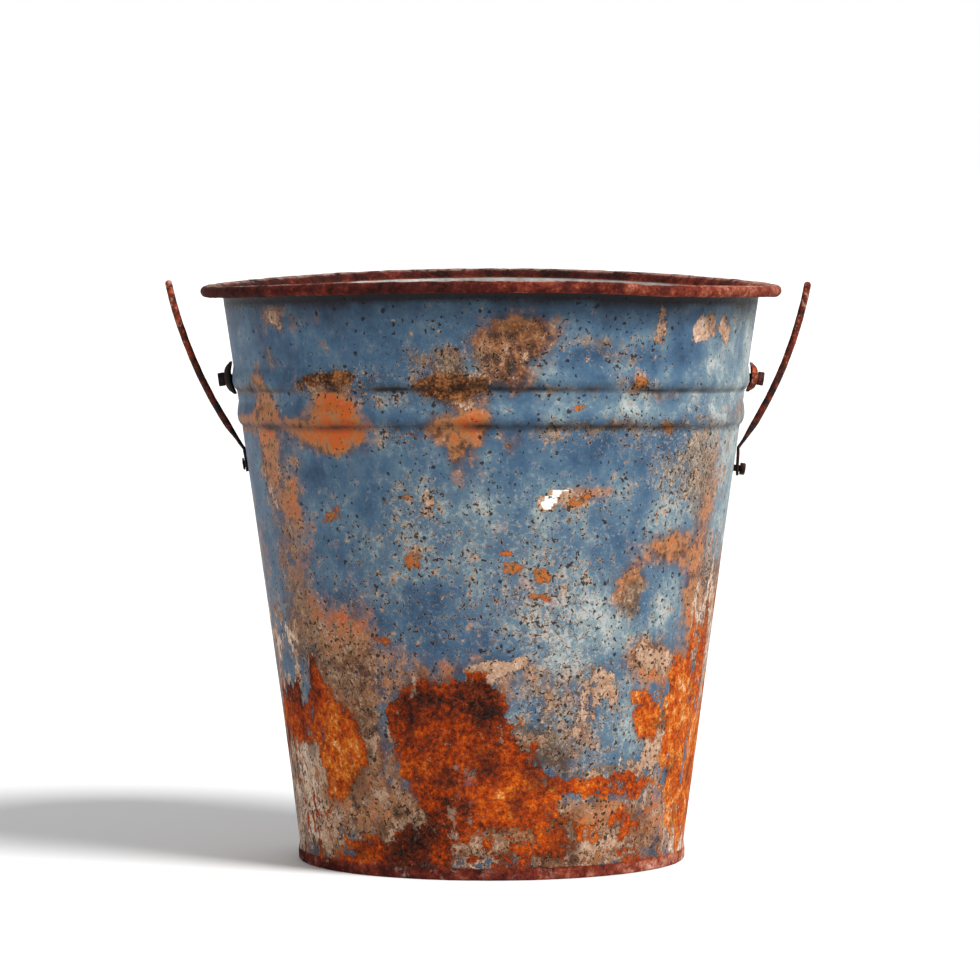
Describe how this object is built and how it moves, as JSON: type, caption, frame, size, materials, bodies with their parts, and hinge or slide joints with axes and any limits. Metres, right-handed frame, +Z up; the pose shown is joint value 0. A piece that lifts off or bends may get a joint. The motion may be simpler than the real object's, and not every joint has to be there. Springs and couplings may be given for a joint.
{
  "type": "bucket",
  "caption": "Tapered sheet-metal bucket with a wired rim, swaged ribs, a folded foot seam and the broken legs of its wire bail, rusty and with flaking paint.",
  "frame": {"origin": "on the ground, under the middle of the bottom", "axes": "+Z up, X through the two bail legs, +Y from the front of the picture's view to the back"},
  "size_m": [0.3338, 0.3, 0.3025],
  "materials": {
    "weathered_paint": "matt blue-grey paint, faded and flaking, over orange and brown rust",
    "rusty_wire": "rough red-brown rust, nearly black low down",
    "dark_rust": "rough dark brown rust",
    "brown_rust": "rough brown rust",
    "tan_rust": "rough light brown rust"
  },
  "bodies": {
    "root": {"bucket_wall": "weathered_paint", "rim_wire": "dark_rust", "bucket_bottom": "brown_rust", "bail_leg_left": "rusty_wire", "bail_leg_right": "rusty_wire", "foot_rivet_left": "dark_rust", "foot_rivet_right": "dark_rust", "ear_bolt_left": "dark_rust", "ear_bolt_right": "dark_rust", "ear_washer_left": "dark_rust", "ear_washer_right": "tan_rust", "inner_washer_left": "brown_rust", "inner_washer_right": "brown_rust", "ear_nut_left": "dark_rust", "ear_nut_right": "dark_rust"}
  },
  "joints": []
}
